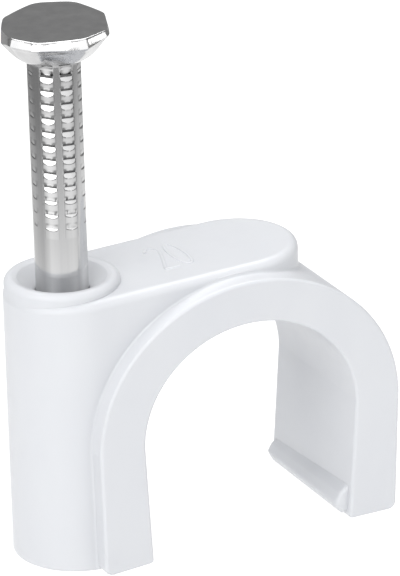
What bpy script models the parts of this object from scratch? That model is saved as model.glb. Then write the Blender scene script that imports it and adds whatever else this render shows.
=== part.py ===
# Nail-in cable clip for a 20 mm round cable: one moulded plastic clip and one steel nail.
# Units are metres. X runs from the nail boss to the free leg, Y along the cable, Z away from the wall.
# The wall is the plane z = 0 and the origin is the middle of the clip's footprint on it.

import bpy
import bmesh
import math
from mathutils import Vector

# Cable channel and the band around it
CHANNEL_HALF_WIDTH = 0.0100
SPRING_HEIGHT = 0.0109
CHANNEL_ARCH_RISE = 0.0093
LEG_WALL = 0.0042
CROWN_WALL = 0.0038
BAND_DEPTH = 0.0145
FIXED_LEG_LEAN = math.radians(2.5)
FREE_LEG_LEAN = math.radians(4.3)
LEG_TAPER = math.radians(1.8)
FIXED_FOOT_CUT = math.radians(3.8)
BAND_EDGE_ROUND = 0.00035
FOOT_OUTER_ROUND = 0.0007
FOOT_INNER_ROUND = 0.0003

# Nail
SHANK_RADIUS = 0.00223
NAIL_LENGTH = 0.0465
NAIL_LIFT = 0.0010
POINT_LENGTH = 0.0065
POINT_FLAT_RADIUS = 0.0003
HEAD_CORNER_RADII = (0.00445, 0.00460, 0.00440, 0.00435, 0.00455, 0.00485, 0.00460, 0.00440)
HEAD_CORNER_CUT = 0.00012
HEAD_FLANK = 0.0011
HEAD_BEVEL = 0.00025
NECK_LENGTH = 0.0019

# Stamped notches down the shank, one row under each corner of the head
NOTCH_COUNT = 12
NOTCH_PITCH = 0.00117
NOTCH_START = 0.0045
NOTCH_DEPTH = 0.00016
NOTCH_HALF_ANGLE = math.radians(15)
NOTCH_SIDE_ANGLE = math.radians(3)
NOTCH_SHARE = 0.6
NOTCH_WALL_SHARE = 0.08
NOTCH_PHASE = math.radians(2.5)

# Nail hole in the boss, the dish at its mouth and the collar round the dish
NAIL_CLEARANCE = 0.0003
NAIL_OFFSET = 0.00065
COLLAR_RADIUS = 0.0049
COLLAR_RISE = 0.00085
COLLAR_ROUND = 0.0006
COLLAR_ROOT = 0.0030
DISH_RADIUS = 0.0038
DISH_DEPTH = 0.0020
LIP_RISE = 0.00015
LIP_RUN = 0.0004
WEB_RIM = 0.0007

# Web, boss and bridge, one stadium in plan
BOSS_INSET = 0.0010
BRIDGE_END_X = 0.0021
BRIDGE_PROUD = 0.0007
BRIDGE_SLOPE = math.radians(1.8)
TOP_ROUND = 0.0008
BOTTOM_ROUND = 0.00025

# Snap bead inside the free leg
BEAD_SETBACK = 0.0006
BEAD_FRONT_TOP = 0.0030
BEAD_FRONT_REACH = 0.0010
BEAD_FRONT_LIP = 0.0011
BEAD_FRONT_UNDER = 0.00045
BEAD_FRONT_ROUND = 0.0005
BEAD_BACK_TOP = 0.00205
BEAD_BACK_REACH = 0.0007
BEAD_BACK_LIP = 0.0009
BEAD_BACK_UNDER = 0.0003
BEAD_BACK_ROUND = 0.0003
BEAD_BURIED = 0.0012
BEAD_FOOT_SHARE = 0.15

# What follows from the sizes above
BAND_HALF_WIDTH = CHANNEL_HALF_WIDTH + LEG_WALL
CROWN_HEIGHT = SPRING_HEIGHT + CHANNEL_ARCH_RISE + CROWN_WALL
BORE_RADIUS = SHANK_RADIUS + NAIL_CLEARANCE
WEB_HALF_THICKNESS = COLLAR_RADIUS + WEB_RIM
BOSS_CENTRE_X = BOSS_INSET - BAND_HALF_WIDTH
NAIL_X = BOSS_CENTRE_X - NAIL_OFFSET
HEAD_TOP = NAIL_LIFT + NAIL_LENGTH

# Smoothness of the curves
ARCH_STEPS = 44
STADIUM_STEPS = 26
BORE_STEPS = 48
ROUND_STEPS = 3
LAND_STEPS = 2
NOTCH_ROWS = len(HEAD_CORNER_RADII)
STEPS_PER_ROW = 4 + LAND_STEPS
CORNER_STEP = 2

# Shares of the nail's neck and head
NECK_WAIST_HEIGHT = 0.55
NECK_WAIST_WIDTH = 1.18
HEAD_UNDER_SHARE = 0.93
HEAD_WIDEST = 0.4
HEAD_SHOULDER_SHARE = 0.97

# How far a cutting form runs past what it cuts
OVERRUN = 0.004


def start_clean():
    for old in list(bpy.data.objects):
        bpy.data.objects.remove(old, do_unlink=True)


def make_material(name, colour, roughness, metallic):
    material = bpy.data.materials.new(name)
    material.use_nodes = True
    shader = material.node_tree.nodes["Principled BSDF"]
    shader.inputs["Base Color"].default_value = (*colour, 1.0)
    shader.inputs["Roughness"].default_value = roughness
    shader.inputs["Metallic"].default_value = metallic
    material.diffuse_color = (*colour, 1.0)
    return material


def object_from(name, mesh_builder, material=None):
    mesh = bpy.data.meshes.new(name)
    bmesh.ops.recalc_face_normals(mesh_builder, faces=mesh_builder.faces)
    mesh_builder.to_mesh(mesh)
    mesh_builder.free()
    mesh.shade_smooth()
    mesh.set_sharp_from_angle(angle=math.radians(32))
    if material:
        mesh.materials.append(material)
    made = bpy.data.objects.new(name, mesh)
    bpy.context.collection.objects.link(made)
    return made


def make_helper(helper):
    helper.hide_render = True
    helper.display_type = "WIRE"
    return helper


def add_boolean(target, helper, operation):
    modifier = target.modifiers.new(operation.title() + " " + helper.name, "BOOLEAN")
    modifier.operation = operation
    modifier.solver = "EXACT"
    modifier.object = helper


def foot_points(half_width, lean_fixed, lean_free, spring, bottom):
    """Where the two straight legs that leave an arch reach the given height."""
    drop = spring - bottom
    fixed = (-(half_width - drop * math.tan(lean_fixed)), bottom)
    free = (half_width - drop * math.tan(lean_free), bottom)
    return fixed, free


def arch_outline(half_width, rise, lean_fixed, lean_free, bottom):
    """An arch on two leaning legs, from the fixed foot over the top to the free foot, as (x, z) points."""
    fixed, free = foot_points(half_width, lean_fixed, lean_free, SPRING_HEIGHT, bottom)
    points = [fixed]
    for step in range(ARCH_STEPS + 1):
        angle = math.pi * (1 - step / ARCH_STEPS)
        points.append((half_width * math.cos(angle), SPRING_HEIGHT + rise * math.sin(angle)))
    points.append(free)
    return points


def rounded(outline, radii):
    """The closed outline with an arc in place of each corner that radii names by its index."""
    made = []
    for index, corner in enumerate(outline):
        radius = radii.get(index)
        if radius is None:
            made.append(corner)
            continue
        point = Vector(corner)
        before = (Vector(outline[index - 1]) - point).normalized()
        after = (Vector(outline[(index + 1) % len(outline)]) - point).normalized()
        half = before.angle(after) / 2
        centre = point + (before + after).normalized() * radius / math.sin(half)
        first = point + before * radius / math.tan(half) - centre
        last = point + after * radius / math.tan(half) - centre
        for step in range(ROUND_STEPS + 1):
            share = step / ROUND_STEPS
            arm = first.slerp(last, share)
            made.append(tuple(centre + arm.normalized() * radius))
    return made


def band_outline():
    """The horseshoe's closed outline: the outer side from the fixed foot to the free one, then the inner."""
    outer = arch_outline(BAND_HALF_WIDTH, CHANNEL_ARCH_RISE + CROWN_WALL,
                         FIXED_LEG_LEAN - LEG_TAPER, FREE_LEG_LEAN - LEG_TAPER, 0.0)
    inner = arch_outline(CHANNEL_HALF_WIDTH, CHANNEL_ARCH_RISE, FIXED_LEG_LEAN, FREE_LEG_LEAN, 0.0)
    foot_rise = (inner[0][0] - outer[0][0]) * math.tan(FIXED_FOOT_CUT)
    inner[0] = (inner[0][0] - foot_rise * math.tan(FIXED_LEG_LEAN), foot_rise)
    outline = outer + inner[::-1]
    free_foot = len(outer)
    return rounded(outline, {0: FOOT_OUTER_ROUND, free_foot - 1: FOOT_OUTER_ROUND,
                             free_foot: FOOT_INNER_ROUND, len(outline) - 1: FOOT_INNER_ROUND})


def prism_along_y(name, outline, depth, edge_round=0.0):
    """The (x, z) outline pulled along Y, half of the depth on each side, with its end edges rounded."""
    shape = bmesh.new()
    front = [shape.verts.new((x, -depth / 2, z)) for x, z in outline]
    face = shape.faces.new(front)
    moved = bmesh.ops.extrude_face_region(shape, geom=[face])["geom"]
    back = [part for part in moved if isinstance(part, bmesh.types.BMVert)]
    bmesh.ops.translate(shape, verts=back, vec=(0, depth, 0))
    if edge_round:
        ends = [edge for edge in shape.edges if abs(edge.verts[0].co.y - edge.verts[1].co.y) < depth / 2]
        bmesh.ops.bevel(shape, geom=ends, offset=edge_round, segments=ROUND_STEPS, profile=0.5,
                        affect="EDGES", clamp_overlap=True)
    return object_from(name, shape)


def stadium_outline():
    points = []
    reach = WEB_HALF_THICKNESS
    for step in range(STADIUM_STEPS + 1):
        angle = math.pi * (0.5 + step / STADIUM_STEPS)
        points.append((BOSS_CENTRE_X + reach * math.cos(angle), reach * math.sin(angle)))
    for step in range(STADIUM_STEPS + 1):
        angle = math.pi * (1.5 + step / STADIUM_STEPS)
        points.append((BRIDGE_END_X + reach * math.cos(angle), reach * math.sin(angle)))
    return points


def top_height(x):
    """The plane of the top: it clears the crown of the band and rises towards the bridge's round end."""
    return CROWN_HEIGHT + BRIDGE_PROUD + x * math.tan(BRIDGE_SLOPE)


def make_web():
    """Boss, web and bridge as one upright stadium, its top edge soft and its wall edge a little rounded."""
    shape = bmesh.new()
    base = [shape.verts.new((x, y, 0.0)) for x, y in stadium_outline()]
    face = shape.faces.new(base)
    moved = bmesh.ops.extrude_face_region(shape, geom=[face])["geom"]
    top = [part for part in moved if isinstance(part, bmesh.types.BMVert)]
    for vertex in top:
        vertex.co.z = top_height(vertex.co.x)
    middle = CROWN_HEIGHT / 2
    top_rim = [edge for edge in shape.edges if min(v.co.z for v in edge.verts) > middle]
    bmesh.ops.bevel(shape, geom=top_rim, offset=TOP_ROUND, segments=ROUND_STEPS + 1, profile=0.5,
                    affect="EDGES", clamp_overlap=True)
    bottom_rim = [edge for edge in shape.edges if max(v.co.z for v in edge.verts) < middle]
    bmesh.ops.bevel(shape, geom=bottom_rim, offset=BOTTOM_ROUND, segments=1, profile=0.5,
                    affect="EDGES", clamp_overlap=True)
    return make_helper(object_from("web_form", shape))


def make_channel_cutter():
    """Clears the web out of the channel, up to the middle of the band's wall."""
    outline = arch_outline(CHANNEL_HALF_WIDTH + LEG_WALL / 2, CHANNEL_ARCH_RISE + CROWN_WALL / 2,
                           FIXED_LEG_LEAN, FREE_LEG_LEAN, -OVERRUN)
    return make_helper(prism_along_y("channel_form", outline, BAND_DEPTH + OVERRUN))


def make_collar():
    """The round collar that stands on the boss, turned about the nail's axis, with a soft outer edge."""
    crest = top_height(NAIL_X) + COLLAR_RISE
    profile = [(0.0, crest - COLLAR_ROOT), (COLLAR_RADIUS, crest - COLLAR_ROOT)]
    for step in range(ROUND_STEPS + 2):
        angle = math.pi / 2 * step / (ROUND_STEPS + 1)
        reach = COLLAR_RADIUS - COLLAR_ROUND * (1 - math.cos(angle))
        profile.append((reach, crest - COLLAR_ROUND * (1 - math.sin(angle))))
    profile.append((0.0, crest))
    collar = turned("collar_form", profile, BORE_STEPS)
    collar.location.x = NAIL_X
    return make_helper(collar)


def make_nail_hole_cutter():
    """Straight bore, cone of the dish and its flat lip, turned about the nail's axis."""
    crest = top_height(NAIL_X) + COLLAR_RISE
    above = crest + OVERRUN
    profile = [(0.0, -OVERRUN), (BORE_RADIUS, -OVERRUN), (BORE_RADIUS, crest - DISH_DEPTH)]
    profile += [(DISH_RADIUS, crest - LIP_RISE), (DISH_RADIUS + LIP_RUN, crest)]
    profile += [(DISH_RADIUS + LIP_RUN, above), (0.0, above)]
    cutter = turned("nail_hole_form", profile, BORE_STEPS)
    cutter.location.x = NAIL_X
    return make_helper(cutter)


def turned(name, profile, steps):
    shape = bmesh.new()
    line = [shape.verts.new((radius, 0.0, z)) for radius, z in profile]
    edges = [shape.edges.new(pair) for pair in zip(line, line[1:])]
    bmesh.ops.spin(shape, geom=line + edges, cent=(0, 0, 0), axis=(0, 0, 1), angle=math.tau, steps=steps,
                   use_merge=True, use_duplicate=False)
    bmesh.ops.remove_doubles(shape, verts=shape.verts, dist=1e-7)
    return object_from(name, shape)


def free_leg_inner_x(z):
    return CHANNEL_HALF_WIDTH - (SPRING_HEIGHT - z) * math.tan(FREE_LEG_LEAN)


def bead_section(top, reach, lip, under, lip_round):
    """Across the bead: a long ramp down to a round lip, and a short return under it, as (x, z) points."""
    points = [(free_leg_inner_x(top) + BEAD_BURIED, top), (free_leg_inner_x(top), top)]
    points.append((free_leg_inner_x(lip) - reach, lip))
    points.append((free_leg_inner_x(under) - reach * BEAD_FOOT_SHARE, under))
    points.append((free_leg_inner_x(under) + BEAD_BURIED, under))
    return rounded(points, {2: lip_round})


def make_bead():
    """The snap bead: a ramped ridge that fattens towards the front and stops short of the front face."""
    front = bead_section(BEAD_FRONT_TOP, BEAD_FRONT_REACH, BEAD_FRONT_LIP,
                         BEAD_FRONT_UNDER, BEAD_FRONT_ROUND)
    back = bead_section(BEAD_BACK_TOP, BEAD_BACK_REACH, BEAD_BACK_LIP, BEAD_BACK_UNDER, BEAD_BACK_ROUND)
    ends = ((front, -BAND_DEPTH / 2 + BEAD_SETBACK), (back, BAND_DEPTH / 2 - BAND_EDGE_ROUND))
    shape = bmesh.new()
    rings = [[shape.verts.new((x, y, z)) for x, z in section] for section, y in ends]
    shape.faces.new(rings[0])
    shape.faces.new(rings[1][::-1])
    for step in range(len(front)):
        after = (step + 1) % len(front)
        shape.faces.new((rings[0][step], rings[1][step], rings[1][after], rings[0][after]))
    return make_helper(object_from("bead_form", shape))


def make_clip(material):
    web = make_web()
    add_boolean(web, make_channel_cutter(), "DIFFERENCE")
    clip = prism_along_y("clip", band_outline(), BAND_DEPTH, BAND_EDGE_ROUND)
    clip.data.materials.append(material)
    add_boolean(clip, web, "UNION")
    add_boolean(clip, make_collar(), "UNION")
    add_boolean(clip, make_bead(), "UNION")
    add_boolean(clip, make_nail_hole_cutter(), "DIFFERENCE")
    return clip


def head_radius(index, share=1.0):
    """The forged head's outline: straight sides between eight uneven corners, each corner cut a little."""
    row, step = divmod(index, STEPS_PER_ROW)
    spacing = math.tau / NOTCH_ROWS
    corner = HEAD_CORNER_RADII[row % NOTCH_ROWS]
    offset = ring_angles()[index] - NOTCH_PHASE - row * spacing
    if step == CORNER_STEP:
        return share * (corner - HEAD_CORNER_CUT)
    turn = 1 if offset > 0 else -1
    other = HEAD_CORNER_RADII[(row + turn) % NOTCH_ROWS]
    return share * corner * other * math.sin(spacing) / (
        corner * math.sin(abs(offset)) + other * math.sin(spacing - abs(offset)))


def ring_angles():
    """Angles round the shank: the sides and the floor of each notch row, then the steps of its land."""
    spacing = math.tau / NOTCH_ROWS
    floor = NOTCH_HALF_ANGLE - NOTCH_SIDE_ANGLE
    land = spacing - 2 * NOTCH_HALF_ANGLE
    angles = []
    for row in range(NOTCH_ROWS):
        middle = NOTCH_PHASE + row * spacing
        angles += [middle - NOTCH_HALF_ANGLE, middle - floor, middle]
        angles += [middle + floor, middle + NOTCH_HALF_ANGLE]
        angles += [middle + NOTCH_HALF_ANGLE + land * step / LAND_STEPS for step in range(1, LAND_STEPS)]
    return angles


def notch_radius(index):
    """The shank's radius on the floor of a notch; its sides and the lands keep the full one."""
    on_floor = index % STEPS_PER_ROW in (CORNER_STEP - 1, CORNER_STEP, CORNER_STEP + 1)
    return SHANK_RADIUS - NOTCH_DEPTH if on_floor else SHANK_RADIUS


def nail_rings():
    """Height and radius rule of every ring, from the point up to the face of the head."""
    shoulder = HEAD_TOP - HEAD_BEVEL
    under = shoulder - HEAD_FLANK
    neck = under - NECK_LENGTH
    rings = [(NAIL_LIFT, lambda i: POINT_FLAT_RADIUS), (NAIL_LIFT + POINT_LENGTH, lambda i: SHANK_RADIUS)]
    half = NOTCH_PITCH * NOTCH_SHARE / 2
    for notch in reversed(range(NOTCH_COUNT)):
        middle = HEAD_TOP - NOTCH_START - notch * NOTCH_PITCH
        rings.append((middle - half, lambda i: SHANK_RADIUS))
        rings.append((middle + half - NOTCH_PITCH * NOTCH_WALL_SHARE, notch_radius))
        rings.append((middle + half, lambda i: SHANK_RADIUS))
    rings.append((neck, lambda i: SHANK_RADIUS))
    rings.append((neck + NECK_LENGTH * NECK_WAIST_HEIGHT, lambda i: SHANK_RADIUS * NECK_WAIST_WIDTH))
    rings.append((under, lambda i: head_radius(i, HEAD_UNDER_SHARE)))
    rings.append((under + HEAD_FLANK * HEAD_WIDEST, head_radius))
    rings.append((shoulder, lambda i: head_radius(i, HEAD_SHOULDER_SHARE)))
    rings.append((HEAD_TOP, lambda i: head_radius(i, HEAD_SHOULDER_SHARE) - HEAD_BEVEL))
    return rings


def make_nail(material):
    """The nail as one skin over its rings, closed by its point and by the flat face of its head."""
    angles = ring_angles()
    shape = bmesh.new()
    loops = []
    for z, radius in nail_rings():
        reach = [radius(index) for index in range(len(angles))]
        loops.append([shape.verts.new((r * math.cos(a), r * math.sin(a), z)) for r, a in zip(reach, angles)])
    for lower, upper in zip(loops, loops[1:]):
        for index in range(len(angles)):
            after = (index + 1) % len(angles)
            shape.faces.new((lower[index], lower[after], upper[after], upper[index]))
    shape.faces.new(loops[0][::-1])
    shape.faces.new(loops[-1])
    nail = object_from("nail", shape, material)
    nail.location.x = NAIL_X
    return nail


def make_part():
    start_clean()
    plastic = make_material("clip_plastic", (0.86, 0.87, 0.89), 0.42, 0.0)
    steel = make_material("nail_steel", (0.62, 0.62, 0.62), 0.28, 1.0)
    make_clip(plastic)
    make_nail(steel)
    left = BOSS_CENTRE_X - WEB_HALF_THICKNESS
    footprint = bpy.data.objects.new("footprint_middle", None)
    footprint.location.x = -(left + BAND_HALF_WIDTH) / 2
    bpy.context.collection.objects.link(footprint)
    for piece in bpy.data.objects:
        if piece.type == "MESH":
            piece.parent = footprint


make_part()
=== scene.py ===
# Looks of a white nail-in cable clip: moulded clip, stamped steel nail, white studio.
# Shapes are drawn in millimetres and scaled to metres when a piece is finished.

import math
import bmesh
import bpy
from mathutils import Matrix, Vector


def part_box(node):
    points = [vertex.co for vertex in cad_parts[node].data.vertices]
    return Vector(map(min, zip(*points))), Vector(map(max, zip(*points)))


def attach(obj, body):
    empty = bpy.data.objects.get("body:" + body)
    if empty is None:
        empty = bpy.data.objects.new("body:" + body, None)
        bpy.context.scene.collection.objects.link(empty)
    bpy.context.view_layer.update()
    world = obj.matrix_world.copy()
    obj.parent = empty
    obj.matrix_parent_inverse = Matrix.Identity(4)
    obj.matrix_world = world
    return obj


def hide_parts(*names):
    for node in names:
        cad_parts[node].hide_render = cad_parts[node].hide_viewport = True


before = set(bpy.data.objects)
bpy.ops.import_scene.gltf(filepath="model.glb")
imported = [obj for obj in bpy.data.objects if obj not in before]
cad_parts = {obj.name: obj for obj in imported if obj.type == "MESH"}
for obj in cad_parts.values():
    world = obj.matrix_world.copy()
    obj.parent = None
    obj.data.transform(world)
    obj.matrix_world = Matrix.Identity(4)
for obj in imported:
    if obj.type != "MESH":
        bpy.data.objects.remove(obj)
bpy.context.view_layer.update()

mm = 0.001  # metres in a millimetre
cornerSteps = 6  # straight pieces in a small round
overrun = 2.0  # how far a cutting form runs past what it cuts
print("frame loaded:", ", ".join(sorted(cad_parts)))

clipLow, clipHigh = (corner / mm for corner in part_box("clip"))
nailLow, nailHigh = (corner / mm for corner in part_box("nail"))


# Mesh tools

def newObject(name, shape):
    bmesh.ops.recalc_face_normals(shape, faces=shape.faces)
    mesh = bpy.data.meshes.new(name)
    shape.to_mesh(mesh)
    shape.free()
    made = bpy.data.objects.new(name, mesh)
    bpy.context.scene.collection.objects.link(made)
    return made


# A tube of faces over rings of points, closed at its ends or joined into a loop
def skin(rings, joined=False):
    shape = bmesh.new()
    loops = [[shape.verts.new(point) for point in ring] for ring in rings]
    pairs = list(zip(loops, loops[1:]))
    if joined:
        pairs.append((loops[-1], loops[0]))
    for lower, upper in pairs:
        for index in range(len(lower)):
            after = (index + 1) % len(lower)
            shape.faces.new((lower[index], lower[after], upper[after], upper[index]))
    if not joined:
        shape.faces.new(loops[0][::-1])
        shape.faces.new(loops[-1])
    return shape


def bakeModifiers(piece):
    seen = piece.evaluated_get(bpy.context.evaluated_depsgraph_get())
    done = bpy.data.meshes.new_from_object(seen)
    piece.modifiers.clear()
    piece.data = done


def combine(piece, tool, how):  # how is UNION or DIFFERENCE
    step = piece.modifiers.new(tool.name, "BOOLEAN")
    step.operation = how
    step.solver = "EXACT"
    step.object = tool
    bakeModifiers(piece)
    bpy.data.objects.remove(tool, do_unlink=True)


# An arc of its own radius in place of each corner that radii names by its index
def roundedOutline(points, radii, steps=cornerSteps):
    made = []
    for index, corner in enumerate(points):
        radius = radii.get(index)
        if radius is None:
            made.append(Vector(corner))
            continue
        point = Vector(corner)
        before = (Vector(points[index - 1]) - point).normalized()
        after = (Vector(points[(index + 1) % len(points)]) - point).normalized()
        half = before.angle(after) / 2
        centre = point + (before + after).normalized() * radius / math.sin(half)
        first = point + before * radius / math.tan(half) - centre
        last = point + after * radius / math.tan(half) - centre
        for step in range(steps + 1):
            made.append(centre + first.slerp(last, step / steps).normalized() * radius)
    return made


def roundOver(radius):  # (inset, depth) steps of a quarter round, from the end face to the side
    angles = [math.pi / 2 * step / cornerSteps for step in range(cornerSteps + 1)]
    return [(radius * (1 - math.sin(a)), radius * (1 - math.cos(a))) for a in angles]


def movedInward(outline, inset):  # the closed outline with every side moved inward by the inset
    sharpest = 0.3  # keeps a sharp corner from running far away
    turned = sum(a.x * b.y - b.x * a.y for a, b in zip(outline, outline[1:] + outline[:1]))
    sign = 1 if turned > 0 else -1
    made = []
    for index, point in enumerate(outline):
        before = (point - outline[index - 1]).normalized()
        after = (outline[(index + 1) % len(outline)] - point).normalized()
        first = Vector((-before.y, before.x)) * sign
        second = Vector((-after.y, after.x)) * sign
        middle = (first + second).normalized()
        made.append(point + middle * inset / max(middle.dot(first), sharpest))
    return made


def curved(first, pull, last, share):  # a point on the curve from first to last that bends towards pull
    return first * (1 - share) ** 2 + pull * 2 * share * (1 - share) + last * share ** 2


# To metres, shaded, on its body and in place of its node
def finishPiece(piece, material, node, sharpAngle):
    piece.data.transform(Matrix.Scale(mm, 4))
    piece.data.materials.clear()
    piece.data.materials.append(material)
    piece.data.shade_smooth()
    piece.data.set_sharp_from_angle(angle=math.radians(sharpAngle))
    even = piece.modifiers.new("evenNormals", "WEIGHTED_NORMAL")
    even.keep_sharp = True
    bakeModifiers(piece)
    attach(piece, "root")
    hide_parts(node)
    print(piece.name, "done:", len(piece.data.polygons), "faces")


# Moulded clip

clip = {  # millimetres and degrees
    "channelWidth": 20.0, "springHeight": 10.9, "archRise": 9.3,
    "legWall": 4.2, "crownWall": 3.8, "edgeRound": 0.3,
    "fixedLean": 2.5, "freeLean": 4.3, "legTaper": 1.8, "fixedFootCut": 3.8,
    "footOuterRound": 0.7, "footInnerRound": 0.35,
    "webHalf": 5.6, "bridgeEnd": 2.1, "bridgeProud": 0.7, "bridgeSlope": 1.8,
    "topRound": 0.8, "bottomRound": 0.25,
    "archSteps": 128, "endSteps": 64, "sharpAngle": 28,
}
archX = clipHigh.x - clip["channelWidth"] / 2 - clip["legWall"]
bossX = clipLow.x + clip["webHalf"]
bridgeX = archX + clip["bridgeEnd"]
bandDepth = clipHigh.y - clipLow.y
outerHalf = clip["channelWidth"] / 2 + clip["legWall"]
outerRise = clip["archRise"] + clip["crownWall"]
crownHeight = clip["springHeight"] + outerRise


def archOutline(half, rise, fixedLean, freeLean, bottom):  # from the fixed foot over the arch to the free one
    steps = clip["archSteps"]
    spring = clip["springHeight"]
    drop = spring - bottom
    points = [(archX - half + drop * math.tan(math.radians(fixedLean)), bottom)]
    for step in range(steps + 1):
        angle = math.pi * (1 - step / steps)
        points.append((archX + half * math.cos(angle), spring + rise * math.sin(angle)))
    points.append((archX + half - drop * math.tan(math.radians(freeLean)), bottom))
    return points


def makeBand():
    lean = clip["fixedLean"], clip["freeLean"]
    taper = clip["legTaper"]
    outer = archOutline(outerHalf, outerRise, lean[0] - taper, lean[1] - taper, 0.0)
    inner = archOutline(clip["channelWidth"] / 2, clip["archRise"], *lean, 0.0)
    footRise = (inner[0][0] - outer[0][0]) * math.tan(math.radians(clip["fixedFootCut"]))
    inner[0] = (inner[0][0] - footRise * math.tan(math.radians(lean[0])), footRise)
    corners = {0: clip["footOuterRound"], len(outer) - 1: clip["footOuterRound"],
               len(outer): clip["footInnerRound"], len(outer) + len(inner) - 1: clip["footInnerRound"]}
    outline = roundedOutline(outer + inner[::-1], corners)
    rings = []
    for inset, back in roundOver(clip["edgeRound"]):
        rings.append([(p.x, clipLow.y + back, p.y) for p in movedInward(outline, inset)])
    for inset, back in reversed(roundOver(clip["edgeRound"])):
        rings.append([(p.x, clipHigh.y - back, p.y) for p in movedInward(outline, inset)])
    return newObject("clipBody", skin(rings))


def topHeight(x):
    slope = math.tan(math.radians(clip["bridgeSlope"]))
    return crownHeight + clip["bridgeProud"] + (x - archX) * slope


def stadium(inset):
    points = []
    radius = clip["webHalf"] - inset
    for centre, start in ((bossX, 0.5), (bridgeX, 1.5)):
        for step in range(clip["endSteps"] + 1):
            angle = math.pi * (start + step / clip["endSteps"])
            points.append((centre + radius * math.cos(angle), radius * math.sin(angle)))
    return points


def makeWeb():
    rings = []
    for inset, up in roundOver(clip["bottomRound"]):
        rings.append([(x, y, up) for x, y in stadium(inset)])
    for inset, down in reversed(roundOver(clip["topRound"])):
        rings.append([(x, y, topHeight(x) - down) for x, y in stadium(inset)])
    web = newObject("webForm", skin(rings))
    half = clip["channelWidth"] / 2 + clip["legWall"] / 2
    rise = clip["archRise"] + clip["crownWall"] / 2
    hollow = archOutline(half, rise, clip["fixedLean"], clip["freeLean"], -overrun)
    cutter = skin([[(x, y, z) for x, z in hollow] for y in (-bandDepth, bandDepth)])
    combine(web, newObject("channelForm", cutter), "DIFFERENCE")
    return web


join = {  # the small hollow round where the band leaves the web
    "radius": 0.3, "sunk": 0.02, "buried": 0.25,
    "legSteps": 12, "archSteps": 48, "endSteps": 24, "hollowSteps": 5,
}


def webSide(x):  # half thickness of the web at x, and which way its wall faces there
    centre = min(max(x, bossX), bridgeX)
    away = x - centre
    wide = math.sqrt(max(clip["webHalf"] ** 2 - away ** 2, 0.0))
    return wide, Vector((away, -wide, 0.0)).normalized()


def bandSide(x):  # height of the band's outside at x, and which way it faces there
    share = (x - archX) / outerHalf
    rise = math.sqrt(max(1 - share ** 2, 0.0))
    facing = Vector((share / outerHalf, 0.0, rise / outerRise)).normalized()
    return clip["springHeight"] + outerRise * rise, facing


# Along the corner between web and band: up the boss, over the crown and round the bridge's end
def joinPath():
    path = []
    lean = math.radians(clip["fixedLean"] - clip["legTaper"])
    legFacing = Vector((-math.cos(lean), 0, -math.sin(lean)))
    low = clip["bottomRound"]
    for step in range(join["legSteps"]):
        z = low + (clip["springHeight"] - low) * step / join["legSteps"]
        x = archX - outerHalf + (clip["springHeight"] - z) * math.tan(lean)
        wide, webFacing = webSide(x)
        path.append((Vector((x, -wide, z)), legFacing, webFacing))
    last = math.acos((bridgeX - archX) / outerHalf)
    for step in range(join["archSteps"]):
        angle = math.pi + (last - math.pi) * step / join["archSteps"]
        x = archX + outerHalf * math.cos(angle)
        z, bandFacing = bandSide(x)
        wide, webFacing = webSide(x)
        path.append((Vector((x, -wide, z)), bandFacing, webFacing))
    for step in range(join["endSteps"] + 1):
        angle = math.pi / 2 * (step / join["endSteps"] - 1)
        x = bridgeX + clip["webHalf"] * math.cos(angle)
        z, bandFacing = bandSide(x)
        webFacing = Vector((math.cos(angle), math.sin(angle), 0.0))
        path.append((Vector((x, clip["webHalf"] * math.sin(angle), z)), bandFacing, webFacing))
    mirrored = [tuple(Vector((v.x, -v.y, v.z)) for v in station) for station in path[:-1]]
    return path + mirrored[::-1]


def makeJoinFillet():
    sunk, buried, steps = join["sunk"], join["buried"], join["hollowSteps"]
    rings = []
    for point, bandFacing, webFacing in joinPath():
        along = bandFacing.cross(webFacing).normalized()
        overBand = bandFacing.cross(along)
        if overBand.dot(webFacing) < 0:
            overBand = -overBand
        upWeb = webFacing.cross(along)
        if upWeb.dot(bandFacing) < 0:
            upWeb = -upWeb
        first = point + overBand * join["radius"] - bandFacing * sunk
        last = point + upWeb * join["radius"] - webFacing * sunk
        ring = [point - bandFacing * buried - webFacing * buried, first - bandFacing * buried]
        ring += [curved(first, point, last, step / steps) for step in range(steps + 1)]
        ring.append(last - webFacing * buried)
        rings.append(ring)
    return newObject("joinFillet", skin(rings))


bead = {  # heights, and reach out from the wall, at its two ends; then the shares of them across its section
    "front": {"setback": 0.55, "top": 3.0, "out": 1.15, "lip": 1.3, "under": 0.35},
    "back": {"setback": 0.3, "top": 2.15, "out": 0.7, "lip": 1.1, "under": 0.2},
    "shoulderDown": 0.4, "shoulderOut": 0.65, "lipOut": 1.1, "underOut": 0.35, "atWall": 0.01,
    "upperRound": 1.0, "lipRound": 0.5, "lowerRound": 0.3, "backSharper": 0.35, "buried": 1.2,
    "steps": 12,
    "endSteps": ((0.0, 0.34), (0.06, 0.2), (0.16, 0.09), (0.3, 0.025), (0.5, 0.0)),  # from the end, shrunk by
}


def beadSection(share, shrink):  # outline across the bead, share of the way from front to back
    front, back = bead["front"], bead["back"]
    sizes = [front[key] + (back[key] - front[key]) * share for key in ("top", "out", "lip", "under")]
    top, out, lip, under = sizes
    lean = math.tan(math.radians(clip["freeLean"]))

    def wall(z):
        return archX + clip["channelWidth"] / 2 - (clip["springHeight"] - z) * lean

    shoulder = top + (lip - top) * bead["shoulderDown"]
    points = [(wall(top) + bead["buried"], top), (wall(top), top),
              (wall(shoulder) - bead["shoulderOut"] * out, shoulder), (wall(lip) - bead["lipOut"] * out, lip),
              (wall(under) - bead["underOut"] * out, under), (wall(under) + bead["buried"], under)]
    small = 1 - bead["backSharper"] * share
    rounds = {2: bead["upperRound"] * small, 3: bead["lipRound"] * small, 4: bead["lowerRound"] * small}
    outline = roundedOutline(points, rounds)
    middle = Vector((wall(lip), (top + under) / 2))
    return [middle + (p - middle) * (1 - shrink) if p.x < wall(p.y) + bead["atWall"] else p for p in outline]


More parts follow.
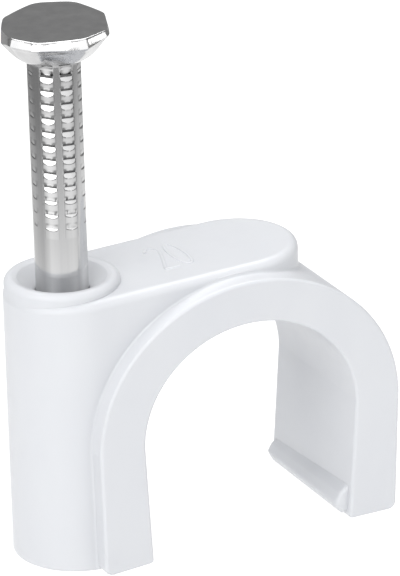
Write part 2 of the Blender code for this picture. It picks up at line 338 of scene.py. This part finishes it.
def makeBead():
    front = clipLow.y + bead["front"]["setback"]
    back = clipHigh.y - bead["back"]["setback"]
    stations = [(front + away, shrink) for away, shrink in bead["endSteps"]]
    stations += [(front + (back - front) * step / bead["steps"], 0.0) for step in range(1, bead["steps"])]
    stations += [(back - away, shrink) for away, shrink in reversed(bead["endSteps"])]
    rings = []
    for y, shrink in stations:
        share = (y - front) / (back - front)
        rings.append([(p.x, y, p.y) for p in beadSection(share, shrink)])
    return newObject("snapBead", skin(rings))


collar = {
    "radius": 4.9, "rise": 0.85, "outerRound": 0.62, "root": 3.0, "roundSteps": 8, "steps": 192,
}
nailHole = {
    "clearance": 0.05, "offset": 0.65, "dishRadius": 3.8, "dishDepth": 1.35,
    "lipRise": 0.15, "lipRun": 0.4, "flare": 0.3, "footRound": 0.25, "rimRound": 0.3,
}
shankRadius = 2.23
nailX = bossX - nailHole["offset"]
axisRadius = 0.02  # a turned form is closed by a tiny face at its axis


def turnedForm(name, profile):  # a body of (radius, height) points turned about the nail's axis
    turns = [math.tau * step / collar["steps"] for step in range(collar["steps"])]
    rings = []
    for radius, z in profile:
        rings.append([(nailX + radius * math.cos(a), radius * math.sin(a), z) for a in turns])
    return newObject(name, skin(rings))


def makeCollar():
    crest = topHeight(nailX) + collar["rise"]
    foot = crest - collar["root"]
    soft = collar["outerRound"]
    profile = [(axisRadius, foot), (collar["radius"], foot)]
    for step in range(collar["roundSteps"] + 1):
        angle = math.pi / 2 * step / collar["roundSteps"]
        reach = collar["radius"] - soft * (1 - math.cos(angle))
        profile.append((reach, crest - soft * (1 - math.sin(angle))))
    profile.append((axisRadius, crest))
    return turnedForm("nailCollar", profile)


def makeNailHole():
    crest = topHeight(nailX) + collar["rise"]
    bore = shankRadius + nailHole["clearance"]
    rim = nailHole["dishRadius"]
    mouth = rim + nailHole["lipRun"]
    outline = [(axisRadius, -overrun), (bore, -overrun), (bore, crest - nailHole["dishDepth"]),
               (rim, crest - nailHole["lipRise"]), (mouth, crest),
               (mouth + nailHole["flare"], crest + overrun), (axisRadius, crest + overrun)]
    soft = {2: nailHole["footRound"], 3: nailHole["rimRound"]}
    return turnedForm("nailHoleForm", [(p.x, p.y) for p in roundedOutline(outline, soft)])


sizeMark = {  # the cable size, 20, in thin raised strokes on the bridge
    "twoX": -4.65, "noughtX": -2.95, "middleY": 0.1,
    "halfWidth": 0.62, "halfHeight": 2.35, "stroke": 0.3, "proud": 0.1, "buried": 0.2,
    "ridge": ((0.8, 0.75), (0.4, 1.0)),  # shares of the half stroke and of its height
    "hookFrom": 170, "hookSweep": 200, "hookRise": 0.62, "hookTall": 0.38,
    "tailPull": (-0.1, -0.35), "footLeft": 0.1, "footRight": 0.05,
    "noughtSteps": 64, "hookSteps": 24, "tailSteps": 12,
}


def raisedStroke(name, path, joined):  # a low rounded ridge along a path on the top plane
    half = sizeMark["stroke"] / 2
    edge = [(half, 0.0)] + [(half * out, sizeMark["proud"] * up) for out, up in sizeMark["ridge"]]
    across = [(-half, -sizeMark["buried"]), (half, -sizeMark["buried"])]
    across += edge + [(-out, up) for out, up in reversed(edge)]
    rings = []
    for index, (x, y) in enumerate(path):
        before = path[index - 1] if index or joined else path[0]
        after = path[(index + 1) % len(path)] if index + 1 < len(path) or joined else path[-1]
        along = Vector((after[0] - before[0], after[1] - before[1])).normalized()
        side = Vector((-along.y, along.x))
        ring = []
        for offset, up in across:
            place = Vector((x, y)) + side * offset
            ring.append((place.x, place.y, topHeight(place.x) + up))
        rings.append(ring)
    return newObject(name, skin(rings, joined))


def makeSizeMark():
    wide, tall = sizeMark["halfWidth"], sizeMark["halfHeight"]
    middleY = sizeMark["middleY"]
    noughtX = archX + sizeMark["noughtX"]
    nought = []
    for step in range(sizeMark["noughtSteps"]):
        angle = math.tau * step / sizeMark["noughtSteps"]
        nought.append((noughtX + wide * math.cos(angle), middleY + tall * math.sin(angle)))
    twoX = archX + sizeMark["twoX"]
    hookCentre = middleY + tall * sizeMark["hookRise"]
    hookTall = tall * sizeMark["hookTall"]
    hook = []
    for step in range(sizeMark["hookSteps"] + 1):
        angle = math.radians(sizeMark["hookFrom"] - sizeMark["hookSweep"] * step / sizeMark["hookSteps"])
        hook.append((twoX + wide * math.cos(angle), hookCentre + hookTall * math.sin(angle)))
    start = Vector(hook[-1])
    low = middleY - tall
    end = Vector((twoX - wide, low))
    pull = start + Vector(sizeMark["tailPull"]) * tall
    for step in range(1, sizeMark["tailSteps"] + 1):
        point = curved(start, pull, end, step / sizeMark["tailSteps"])
        hook.append((point.x, point.y))
    left = twoX - wide - sizeMark["footLeft"]
    right = twoX + wide + sizeMark["footRight"]
    foot = [(left, low), (twoX, low), (right, low)]
    return [raisedStroke("nought", nought, True), raisedStroke("twoHook", hook, False),
            raisedStroke("twoFoot", foot, False)]


def makeClip(material):
    body = makeBand()
    combine(body, makeWeb(), "UNION")
    print("band and web joined")
    combine(body, makeJoinFillet(), "UNION")
    combine(body, makeBead(), "UNION")
    combine(body, makeCollar(), "UNION")
    for stroke in makeSizeMark():
        combine(body, stroke, "UNION")
    combine(body, makeNailHole(), "DIFFERENCE")
    finishPiece(body, material, "clip", clip["sharpAngle"])


# Steel nail

nail = {  # millimetres and degrees; the neck and the head are measured down from the head's face
    "pointLength": 6.5, "pointFlat": 0.3, "faceDrop": 0.15, "neckDrop": 3.15,
    "coneEase": 0.62, "coneSpread": 1.5, "neckEase": 0.07, "coneShare": 0.93,
    "belly": 0.4, "bellyEase": 1.3, "rim": 0.12, "roundness": 0.22, "headTilt": 3.0, "tiltToward": 64.0,
    "flankShares": (0.06, 0.2, 0.4, 0.6, 0.8, 1.0), "flankLean": 0.75,
    "pointSteps": 12, "coneSteps": 16, "bellySteps": 6, "rimSteps": 4, "cornerSteps": 10, "sharpAngle": 22,
}
turnColumn, widestColumn, faceColumn, softColumn, dropColumn = range(5)
headCorners = (  # turn, reach at the widest, reach of the face, how soft the corner is, how low the widest is
    (42.3, 4.86, 4.82, 1.6, 0.7), (83.2, 4.70, 4.68, 1.6, 0.9), (135.4, 4.32, 4.30, 0.8, 1.4),
    (166.2, 4.34, 4.29, 0.8, 1.3), (197.4, 4.84, 4.62, 0.9, 0.66), (228.5, 4.93, 4.58, 1.5, 0.6),
    (279.7, 4.86, 4.55, 1.0, 0.83), (311.5, 5.06, 4.88, 0.6, 0.46), (357.7, 4.74, 4.68, 0.9, 0.6),
)
notch = {  # millimetres and degrees; each notch is a short wall, then a tilted ledge, then a low ridge
    "count": 12, "pitch": 1.207, "first": 4.0, "ledge": 0.41, "wall": 0.24, "leadIn": 0.65,
    "ledgeTilt": 20.5, "flatness": 1.0, "halfAngle": 15.6, "sideSlope": 2.2,
    "fadeOver": 4.0, "shallowest": 0.45, "bulge": 0.038, "bulgeEase": 0.5,
    "leadMiddle": 0.6, "leadSides": 1.1, "skew": 0.03,
    "grooveDepth": 0.03, "grooveWidth": 1.7, "waver": 0.1, "waverByNotch": 2.4, "waverByRow": 1.7,
    "rowsFrom": 2.5, "wallTop": 0.01, "leadSteps": 5, "ledgeSteps": 10, "ridgeSteps": 4,
}
rowDepths = (0.4, 0.4, 0.4, 0.4, 0.22, 1.0, 1.0, 0.35)  # shares of the full depth; two rows face the camera
rowCount = len(rowDepths)
rowTurns = [notch["rowsFrom"] + 360 / rowCount * row for row in range(rowCount)]
rowSteps = (-19.5, -17.3, -15.6, -14.6, -13.4, -12.0, -10.0, -8.0, -6.0, -3.0, 0.0,
            3.0, 6.0, 8.0, 10.0, 12.0, 13.4, 14.6, 15.6, 17.3, 19.5, 22.5)
aroundTurns = [(math.radians(row + step), index, math.radians(step))
               for index, row in enumerate(rowTurns) for step in rowSteps]


def betweenCorners(turn, column):  # eased from the corner before the turn to the one after it
    for corner, following in zip(headCorners, headCorners[1:] + headCorners[:1]):
        past = (turn - corner[turnColumn]) % 360
        span = (following[turnColumn] - corner[turnColumn]) % 360
        if past <= span:
            blend = past / span
            return corner[column] + (following[column] - corner[column]) * blend ** 2 * (3 - 2 * blend)


def evenAround(column):
    return [betweenCorners(math.degrees(angle), column) for angle, row, off in aroundTurns]


def headReach(column):  # the head's outline at each of the turns, between a soft polygon and an even round
    parallel, slack = 1e-9, 1e-6
    places = []
    for corner in headCorners:
        turn = math.radians(corner[turnColumn])
        places.append((corner[column] * math.cos(turn), corner[column] * math.sin(turn)))
    softness = {index: corner[softColumn] for index, corner in enumerate(headCorners)}
    outline = roundedOutline(places, softness, nail["cornerSteps"])
    reaches = []
    for angle, row, off in aroundTurns:
        ray = Vector((math.cos(angle), math.sin(angle)))
        best = 0.0
        for one, other in zip(outline, outline[1:] + outline[:1]):
            side = other - one
            across = ray.x * side.y - ray.y * side.x
            if abs(across) < parallel:
                continue
            along = (one.x * side.y - one.y * side.x) / across
            share = (one.x * ray.y - one.y * ray.x) / across
            if along > 0 and -slack <= share <= 1 + slack:
                best = max(best, along)
        reaches.append(best)
    return [best + (even - best) * nail["roundness"] for best, even in zip(reaches, evenAround(column))]


# How deep the stamped rows cut at an angle off a row's middle and a length below the first notch
def notchCut(row, off, below):
    index = max(0, math.floor(below / notch["pitch"]))
    if index >= notch["count"] or below < -notch["leadIn"]:
        return 0.0
    down = below - index * notch["pitch"]
    left = (notch["count"] - 1 - index) / notch["fadeOver"]
    worn = notch["shallowest"] + (1 - notch["shallowest"]) * min(1.0, left)
    worn *= rowDepths[row]
    wave = math.sin(index * notch["waverByNotch"] + row * notch["waverByRow"])
    ledge = notch["ledge"] * worn * (1 + notch["waver"] * wave)
    steep = math.tan(math.radians(notch["ledgeTilt"]))
    half = math.radians(notch["halfAngle"])
    fromSide = abs(abs(off) - half) / math.radians(notch["grooveWidth"])
    groove = notch["grooveDepth"] * worn * max(0.0, 1 - fromSide)
    if abs(off) >= half:
        return groove
    swell = notch["bulge"] * worn * math.cos(off / half * math.pi / 2) ** notch["bulgeEase"]
    if down > ledge + notch["wall"]:
        ridge = (down - ledge - notch["wall"]) / (notch["pitch"] - ledge - notch["wall"])
        lean = ridge - 1 if index == notch["count"] - 1 else 2 * ridge - 1
        return max(groove, swell * lean) if groove else swell * lean
    if down < 0:
        sides = notch["leadMiddle"] + notch["leadSides"] * (abs(off) / half) ** 2
        deep = swell + ledge * steep * (1 + down / notch["leadIn"]) * sides
        deep -= swell * min(1.0, -down / notch["leadIn"])
    elif down < notch["wall"]:
        deep = swell + (ledge * steep - swell) * down / notch["wall"]
    else:
        share = (down - notch["wall"]) / ledge
        deep = ledge * steep * (1 - share) - swell * share
    plane = deep - notch["flatness"] * (shankRadius - deep) * (1 / math.cos(off) - 1)
    side = (half - abs(off)) * shankRadius * notch["sideSlope"]
    cut = min(max(plane, -swell), side)
    return max(groove, cut) if groove else cut


def shankHeights():  # exact heights of the notches' edges, with steps between them, from the lowest up
    leadSteps, ledgeSteps, ridgeSteps = notch["leadSteps"], notch["ledgeSteps"], notch["ridgeSteps"]
    wall, ledge = notch["wall"], notch["ledge"]
    ridge = notch["pitch"] - wall - ledge
    first = nailHigh.z - notch["first"]
    heights = [first + notch["leadIn"] * step / leadSteps for step in range(leadSteps + 1)]
    for index in range(notch["count"]):
        start = first - index * notch["pitch"]
        heights += [start - wall * notch["wallTop"], start - wall]
        heights += [start - wall - ledge * step / ledgeSteps for step in range(1, ledgeSteps + 1)]
        heights += [start - wall - ledge - ridge * step / ridgeSteps for step in range(1, ridgeSteps)]
    heights.append(first - notch["count"] * notch["pitch"])
    return sorted(set(round(z, 5) for z in heights))


def shankRings():  # [(height, reach) at every turn] from the point up to the neck
    rings = []
    for step in range(nail["pointSteps"] + 1):
        share = step / nail["pointSteps"]
        radius = nail["pointFlat"] + (shankRadius - nail["pointFlat"]) * share
        rings.append([(nailLow.z + nail["pointLength"] * share, radius)] * len(aroundTurns))
    first = nailHigh.z - notch["first"]
    for z in shankHeights():
        ring = []
        for angle, row, off in aroundTurns:
            lift = -notch["skew"] * math.sin(rowCount * off)
            ring.append((z + lift, shankRadius - notchCut(row, off, first - z)))
        rings.append(ring)
    return rings


def headRings():  # the neck's cone, the round under the head, its flank and its face
    cone, belly = nail["coneShare"], nail["belly"]
    widest = headReach(widestColumn)
    face = headReach(faceColumn)
    top = nailHigh.z - nail["faceDrop"]
    wideHeights = [top - drop for drop in evenAround(dropColumn)]
    neck = top - nail["neckDrop"]
    shoulder = top - nail["rim"]
    rings = []
    for step in range(nail["coneSteps"] + 1):
        share = (step / nail["coneSteps"]) ** nail["coneSpread"]
        reachShare = share ** nail["coneEase"] * (1 - math.exp(-share / nail["neckEase"]))
        rings.append([(neck + (high - belly - neck) * share,
                       shankRadius + (wide * cone - shankRadius) * reachShare)
                      for high, wide in zip(wideHeights, widest)])
    for step in range(1, nail["bellySteps"] + 1):
        angle = math.pi / 2 * step / nail["bellySteps"]
        rings.append([(high - belly * (1 - math.sin(angle) ** nail["bellyEase"]),
                       wide * (cone + (1 - cone) * math.sin(angle)))
                      for high, wide in zip(wideHeights, widest)])
    for share in nail["flankShares"]:
        lean = share * nail["flankLean"] + share ** 2 * (1 - nail["flankLean"])
        rings.append([(high + (shoulder - high) * share, wide + (edge - wide) * lean)
                      for high, wide, edge in zip(wideHeights, widest, face)])
    for step in range(1, nail["rimSteps"] + 1):
        angle = math.pi / 2 * step / nail["rimSteps"]
        inset = nail["rim"] * (1 - math.cos(angle))
        rings.append([(shoulder + nail["rim"] * math.sin(angle), edge - inset) for edge in face])
    return rings


def makeNail(material):
    tilt = math.tan(math.radians(nail["headTilt"]))
    toward = math.radians(nail["tiltToward"])
    top = nailHigh.z - nail["faceDrop"]
    neck = top - nail["neckDrop"]
    rings = []
    for ring in shankRings() + headRings():
        places = []
        for (angle, row, off), (z, reach) in zip(aroundTurns, ring):
            share = min(1.0, max(0.0, (z - neck) / (top - neck)))
            lift = tilt * share * reach * math.cos(angle - toward)
            places.append((nailX + reach * math.cos(angle), reach * math.sin(angle), z + lift))
        rings.append(places)
    body = newObject("steelNail", skin(rings))
    finishPiece(body, material, "nail", nail["sharpAngle"])


# Materials

def newMaterial(name):
    material = bpy.data.materials.new(name)
    material.use_nodes = True
    tree = material.node_tree
    return material, tree, tree.nodes["Principled BSDF"]


def ranged(tree, value, before, after=(0.0, 1.0)):  # a value carried over from one range to another
    spread = tree.nodes.new("ShaderNodeMapRange")
    for name, limit in zip(("From Min", "From Max", "To Min", "To Max"), (*before, *after)):
        spread.inputs[name].default_value = limit
    tree.links.new(value, spread.inputs["Value"])
    return spread.outputs["Result"]


noiseSpan = (0.3, 0.7)  # nearly all of a noise pattern lies between these


# A value between low and high that varies over the object
def noiseBetween(tree, stretch, scale, detail, low=0.0, high=1.0):
    coords = tree.nodes.new("ShaderNodeTexCoord")
    place = tree.nodes.new("ShaderNodeMapping")
    place.inputs["Scale"].default_value = stretch
    pattern = tree.nodes.new("ShaderNodeTexNoise")
    pattern.inputs["Scale"].default_value = scale
    pattern.inputs["Detail"].default_value = detail
    tree.links.new(coords.outputs["Object"], place.inputs["Vector"])
    tree.links.new(place.outputs["Vector"], pattern.inputs["Vector"])
    return ranged(tree, pattern.outputs["Fac"], noiseSpan, (low, high))


def mixColours(tree, share, first, second):  # each is three numbers or another node's colour
    mix = tree.nodes.new("ShaderNodeMix")
    mix.data_type = "RGBA"
    tree.links.new(share, mix.inputs["Factor"])
    for name, colour in (("A", first), ("B", second)):
        if isinstance(colour, tuple):
            mix.inputs[name].default_value = (*colour, 1.0)
        else:
            tree.links.new(colour, mix.inputs[name])
    return mix.outputs["Result"]


def chosenValue(tree, choice, without, chosen):  # one value or another, as a ray or a factor says
    mix = tree.nodes.new("ShaderNodeMix")
    tree.links.new(choice, mix.inputs["Factor"])
    for name, value in (("A", without), ("B", chosen)):
        if isinstance(value, float):
            mix.inputs[name].default_value = value
        else:
            tree.links.new(value, mix.inputs[name])
    return mix.outputs["Result"]


def multiplied(tree, first, second, scale=1.0):
    product = tree.nodes.new("ShaderNodeVectorMath")
    product.operation = "MULTIPLY"
    tree.links.new(first, product.inputs[0])
    tree.links.new(second, product.inputs[1])
    grown = tree.nodes.new("ShaderNodeVectorMath")
    grown.operation = "SCALE"
    grown.inputs["Scale"].default_value = scale
    tree.links.new(product.outputs["Vector"], grown.inputs[0])
    return grown.outputs["Vector"]


def bumpFrom(tree, height, strength, distance, below=None):  # the bump's height is in metres
    bump = tree.nodes.new("ShaderNodeBump")
    bump.inputs["Strength"].default_value = strength
    bump.inputs["Distance"].default_value = distance
    tree.links.new(height, bump.inputs["Height"])
    if below:
        tree.links.new(below, bump.inputs["Normal"])
    return bump.outputs["Normal"]


plastic = {
    "light": (0.605, 0.617, 0.64), "dark": (0.585, 0.597, 0.624),
    "roughLow": 0.30, "roughHigh": 0.40, "cloudScale": 180.0, "cloudStretch": (1, 1, 0.5),
    "roughScale": 720.0, "rippleScale": 360.0, "rippleStretch": (1, 1, 0.4), "grainScale": 5200.0,
    "rippleBump": (0.25, 0.00002), "grainBump": (0.2, 0.000008),  # strength, and height in metres
    "depthWeight": 0.15, "depthRadius": (1.0, 0.95, 0.9), "depthScale": 0.0006, "lightBending": 1.49,
}


def mouldedPlastic():
    material, tree, shader = newMaterial("clipPlastic")
    even = (1, 1, 1)
    cloud = noiseBetween(tree, plastic["cloudStretch"], plastic["cloudScale"], 3.0)
    rough = noiseBetween(tree, even, plastic["roughScale"], 4.0, plastic["roughLow"], plastic["roughHigh"])
    ripple = noiseBetween(tree, plastic["rippleStretch"], plastic["rippleScale"], 2.0)
    grain = noiseBetween(tree, even, plastic["grainScale"], 2.0)
    waves = bumpFrom(tree, ripple, *plastic["rippleBump"])
    tree.links.new(mixColours(tree, cloud, plastic["light"], plastic["dark"]), shader.inputs["Base Color"])
    tree.links.new(rough, shader.inputs["Roughness"])
    tree.links.new(bumpFrom(tree, grain, *plastic["grainBump"], waves), shader.inputs["Normal"])
    shader.inputs["Subsurface Weight"].default_value = plastic["depthWeight"]
    shader.inputs["Subsurface Radius"].default_value = plastic["depthRadius"]
    shader.inputs["Subsurface Scale"].default_value = plastic["depthScale"]
    shader.inputs["IOR"].default_value = plastic["lightBending"]
    return material


steel = {  # heights in metres, tones are shares of the plain colour; most of them are painted reflections and painted shade
    "light": (0.70, 0.70, 0.70), "dark": (0.60, 0.60, 0.605), "roughLow": 0.09, "roughHigh": 0.14,
    "streakScale": 900.0, "streakStretch": (1, 1, 0.03),
    "roughScale": 1800.0, "roughStretch": (1, 1, 0.1),
    "lineScale": 3600.0, "lineStretch": (1, 1, 0.02), "lineBump": (0.25, 0.00001),
    "shankSpan": (0.022, 0.048),  # the heights where the painted reflection tones along the shank start and end
    # painted reflections: the shank's tone at each share of its height, darker in its upper middle
    "paintedReflectionsAlong": ((0.0, 1.0), (0.35, 0.98), (0.62, 0.92), (0.86, 0.92), (0.9, 1.0), (1.0, 1.0)),
    "paintedReflectionBands": (  # painted reflections as bright and dark bands round the shank, at degrees from roundFrom, the side that faces the camera
        (-180, 0.8), (-150, 1.0), (-120, 0.7), (-85, 0.75), (-62, 0.8), (-37, 0.75), (-20, 1.1), (-4, 1.08),
        (14, 0.95), (30, 0.9), (42, 0.72), (56, 0.97), (85, 0.78), (120, 1.0), (150, 0.75)),
    "roundFrom": 243.7, "brightestTone": 1.2, "bandsEnd": 0.0440, "bandsFade": 0.0002, "headTone": 0.9,
    "hollowPaintedShade": 0.3, "hollowShadeSpan": (0.42, 0.5),  # painted shade darkening the notches' inner corners, by how hollow the surface is
    "downFacingPaintedShade": 0.2, "downFacingShadeSpan": (-0.34, -0.2),  # painted shade darkening the notches' walls, by how far they face down
    "bellyPaintedShade": 0.76, "bellyShadeSpan": (-0.5, -0.1),  # painted shade darkening the head's belly, the same way
}


def toneRamp(tree, value, tones):  # greys at places from 0 to 1, held as shares of the brightest tone
    ramp = tree.nodes.new("ShaderNodeValToRGB")
    points = ramp.color_ramp
    while len(points.elements) < len(tones):
        points.elements.new(1.0)
    for element, (place, tone) in zip(points.elements, tones):
        grey = tone / steel["brightestTone"]
        element.position = place
        element.color = (grey, grey, grey, 1.0)
    tree.links.new(value, ramp.inputs["Fac"])
    return ramp.outputs["Color"]


def roundTheNail(tree, coords):  # from 0 to 1 round the nail's axis
    centred = tree.nodes.new("ShaderNodeMapping")
    centred.inputs["Location"].default_value = (-nailX * mm, 0.0, 0.0)
    sweep = tree.nodes.new("ShaderNodeTexGradient")
    sweep.gradient_type = "RADIAL"
    tree.links.new(coords.outputs["Object"], centred.inputs["Vector"])
    tree.links.new(centred.outputs["Vector"], sweep.inputs["Vector"])
    return sweep.outputs["Fac"]


def partOf(tree, vector, axis):
    split = tree.nodes.new("ShaderNodeSeparateXYZ")
    tree.links.new(vector, split.inputs["Vector"])
    return split.outputs[axis]


def drawnSteel():
    material, tree, shader = newMaterial("nailSteel")
    coords = tree.nodes.new("ShaderNodeTexCoord")
    form = tree.nodes.new("ShaderNodeNewGeometry")
    height = partOf(tree, coords.outputs["Object"], "Z")
    facingUp = partOf(tree, form.outputs["Normal"], "Z")
    bandsEnd = steel["bandsEnd"]
    onShank = ranged(tree, height, (bandsEnd, bandsEnd + steel["bandsFade"]), (1.0, 0.0))

    streak = noiseBetween(tree, steel["streakStretch"], steel["streakScale"], 3.0)
    toned = mixColours(tree, streak, steel["dark"], steel["light"])
    # painted reflections: tones along the shank's height
    along = toneRamp(tree, ranged(tree, height, steel["shankSpan"]), steel["paintedReflectionsAlong"])
    toned = multiplied(tree, toned, along, steel["brightestTone"])
    # painted reflections: bright and dark bands round the shank; the head keeps one even tone
    turned = steel["roundFrom"] + 180  # the sweep starts on the side towards -x
    around = sorted(((turn + turned) % 360 / 360, tone) for turn, tone in steel["paintedReflectionBands"])
    reflectionBands = toneRamp(tree, roundTheNail(tree, coords), around)
    reflectionBands = mixColours(tree, onShank, (steel["headTone"],) * 3, reflectionBands)
    toned = multiplied(tree, toned, reflectionBands, steel["brightestTone"])
    # painted shade: the notches' hollow corners darkened
    hollow = ranged(tree, form.outputs["Pointiness"], steel["hollowShadeSpan"], (steel["hollowPaintedShade"], 1.0))
    toned = multiplied(tree, toned, chosenValue(tree, onShank, 1.0, hollow))
    # painted shade: the shank's down-facing walls darkened
    under = ranged(tree, facingUp, steel["downFacingShadeSpan"], (steel["downFacingPaintedShade"], 1.0))
    # painted shade: the head's down-facing belly darkened
    belly = ranged(tree, facingUp, steel["bellyShadeSpan"], (steel["bellyPaintedShade"], 1.0))
    toned = multiplied(tree, toned, chosenValue(tree, onShank, belly, under))
    tree.links.new(toned, shader.inputs["Base Color"])

    low, high = steel["roughLow"], steel["roughHigh"]
    rough = noiseBetween(tree, steel["roughStretch"], steel["roughScale"], 3.0, low, high)
    tree.links.new(rough, shader.inputs["Roughness"])
    shader.inputs["Metallic"].default_value = 1.0
    lines = noiseBetween(tree, steel["lineStretch"], steel["lineScale"], 2.0)
    tree.links.new(bumpFrom(tree, lines, *steel["lineBump"]), shader.inputs["Normal"])
    return material


# Studio

studio = {  # camera and aim in millimetres, floor and lit sheet in metres, turns in degrees
    "cameraPlace": (-179.08, -364.62, 190.51), "cameraTurn": 26.32, "cameraTilt": 22.61, "cameraRoll": -1.55,
    "lens": 324.9, "floorSize": 6.0, "floorColour": (0.22, 0.22, 0.22), "sheetNear": 0.055, "sheetFar": 0.12,
    "glowNear": 0.88, "glowFar": 0.02, "glowOnClip": 0.88, "glowSeen": 0.9,
    "worldGrey": 0.26, "aim": (0.0, 0.0, 18.0), "nearestSeen": 0.01, "furthestSeen": 50.0, "floorRough": 0.9,
}
softboxes = {  # turn from the camera to its right and rise above the floor in degrees; metres; watts
    "keyLeft": {"turn": -31, "rise": 34, "distance": 0.8, "wide": 0.5, "tall": 0.7, "power": 2.85},
    "sideLeft": {"turn": -70, "rise": 28, "distance": 0.75, "wide": 0.5, "tall": 0.6, "power": 1.1},
    "nearFront": {"turn": 6, "rise": 33, "distance": 0.8, "wide": 0.53, "tall": 0.65, "power": 1.5},
    "fillRight": {"turn": 50, "rise": 30, "distance": 0.9, "wide": 0.655, "tall": 0.7, "power": 1.75},
    "farRight": {"turn": 88, "rise": 24, "distance": 0.9, "wide": 0.22, "tall": 0.26, "power": 0.4},
    "front": {"turn": 8, "rise": 66, "distance": 0.9, "wide": 0.7, "tall": 0.4, "power": 0.44},
    "overhead": {"turn": 30, "rise": 88, "distance": 0.8, "wide": 0.9, "tall": 0.9, "power": 2.0},
    "behind": {"turn": 180, "rise": 66, "distance": 0.9, "wide": 0.8, "tall": 0.5, "power": 4.6},
}


def makeCamera():
    turn = math.radians(studio["cameraTurn"])
    tilt = math.radians(studio["cameraTilt"])
    roll = math.radians(studio["cameraRoll"])
    look = Vector((math.sin(turn) * math.cos(tilt), math.cos(turn) * math.cos(tilt), -math.sin(tilt)))
    flat = Vector((math.cos(turn), -math.sin(turn), 0.0))
    upright = flat.cross(look)
    right = flat * math.cos(roll) + upright * math.sin(roll)
    up = upright * math.cos(roll) - flat * math.sin(roll)
    data = bpy.data.cameras.new("photoCamera")
    data.lens = studio["lens"]
    data.clip_start = studio["nearestSeen"]
    data.clip_end = studio["furthestSeen"]
    camera = bpy.data.objects.new("photoCamera", data)
    camera.matrix_world = Matrix.Translation(Vector(studio["cameraPlace"]) * mm) @ Matrix(
        (right, up, -look)).transposed().to_4x4()
    bpy.context.scene.collection.objects.link(camera)
    bpy.context.scene.camera = camera


def makeSoftbox(name, box):
    turn = math.radians(box["turn"] - 90 - studio["cameraTurn"])
    rise = math.radians(box["rise"])
    away = Vector((math.cos(turn) * math.cos(rise), math.sin(turn) * math.cos(rise), math.sin(rise)))
    data = bpy.data.lights.new(name, "AREA")
    data.shape = "RECTANGLE"
    data.size = box["wide"]
    data.size_y = box["tall"]
    data.energy = box["power"]
    light = bpy.data.objects.new(name, data)
    light.location = Vector(studio["aim"]) * mm + away * box["distance"]
    light.rotation_mode = "QUATERNION"
    light.rotation_quaternion = away.to_track_quat("Z", "Y")
    light.visible_camera = False
    bpy.context.scene.collection.objects.link(light)


def makeFloor():
    half = studio["floorSize"] / 2
    places = ((-half, -half), (half, -half), (half, half), (-half, half))
    shape = bmesh.new()
    shape.faces.new([shape.verts.new((x, y, 0.0)) for x, y in places])
    floor = newObject("floor", shape)
    material, tree, shader = newMaterial("palePaper")
    shader.inputs["Base Color"].default_value = (*studio["floorColour"], 1.0)
    shader.inputs["Roughness"].default_value = studio["floorRough"]
    shader.inputs["Emission Color"].default_value = (1.0, 1.0, 1.0, 1.0)
    coords = tree.nodes.new("ShaderNodeTexCoord")
    away = tree.nodes.new("ShaderNodeVectorMath")
    away.operation = "LENGTH"
    tree.links.new(coords.outputs["Object"], away.inputs[0])
    fade = ranged(tree, away.outputs["Value"], (studio["sheetNear"], studio["sheetFar"]),
                  (studio["glowNear"], studio["glowFar"]))
    rays = tree.nodes.new("ShaderNodeLightPath")
    glow = chosenValue(tree, rays.outputs["Is Diffuse Ray"], fade, studio["glowOnClip"])
    glow = chosenValue(tree, rays.outputs["Is Camera Ray"], glow, studio["glowSeen"])
    tree.links.new(glow, shader.inputs["Emission Strength"])
    material.cycles.emission_sampling = "NONE"  # sampled as a lamp, the glow would mix up its rays
    floor.data.materials.append(material)


def makeWorld():
    world = bpy.data.worlds.new("studio")
    world.use_nodes = True
    grey = studio["worldGrey"]
    world.node_tree.nodes["Background"].inputs["Color"].default_value = (grey, grey, grey, 1.0)
    bpy.context.scene.world = world
    bpy.context.scene.view_settings.view_transform = "Standard"


makeCamera()
makeWorld()
makeFloor()
for boxName, boxValues in softboxes.items():
    makeSoftbox(boxName, boxValues)
print("studio ready")
makeClip(mouldedPlastic())
makeNail(drawnSteel())
